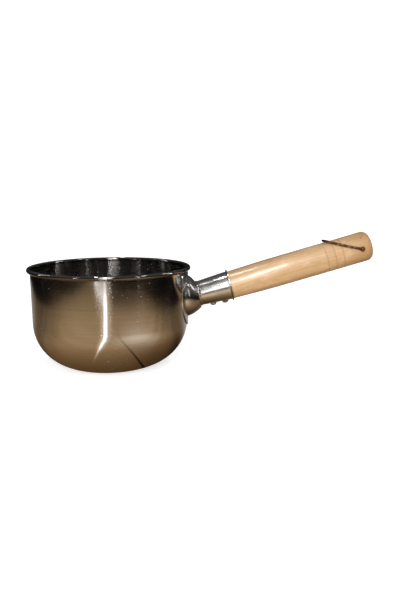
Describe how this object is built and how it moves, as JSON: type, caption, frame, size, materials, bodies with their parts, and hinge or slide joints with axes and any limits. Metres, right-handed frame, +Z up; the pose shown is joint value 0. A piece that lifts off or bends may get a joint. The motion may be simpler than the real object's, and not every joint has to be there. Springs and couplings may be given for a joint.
{
  "type": "small saucepan",
  "caption": "Small round-bottomed steel pan with a rolled rim, a stamped bracket, a tapered steel ferrule, a turned wooden handle and a wire loop to hang it by.",
  "frame": {"origin": "centre of the pot's flat base, on the ground", "axes": "+Z up along the pot's axis, +X towards the handle, which rises in the XZ plane"},
  "size_m": [0.3009, 0.14, 0.1143],
  "materials": {
    "pot_steel": "bright turned steel with fine rings round the wall",
    "bracket_steel": "polished sheet steel",
    "ferrule_steel": "polished sheet steel",
    "screw_steel": "bright screw with a slotted dome head",
    "grip_wood": "turned pale beech under thin varnish",
    "loop_wire": "darkened steel wire"
  },
  "bodies": {
    "pan": {"pot_bowl": "pot_steel", "handle_bracket": "bracket_steel", "ferrule": "ferrule_steel", "ferrule_screw_inner": "screw_steel", "ferrule_screw_outer": "screw_steel", "wooden_grip": "grip_wood"},
    "loop": {"hanging_loop": "loop_wire"}
  },
  "joints": [
    {"name": "loop_hinge", "type": "hinge", "parent": "pan", "child": "loop", "pos_m": [0.21861, 0, 0.10007], "axis": [0, 1, 0], "range_deg": [0, 305]}
  ]
}
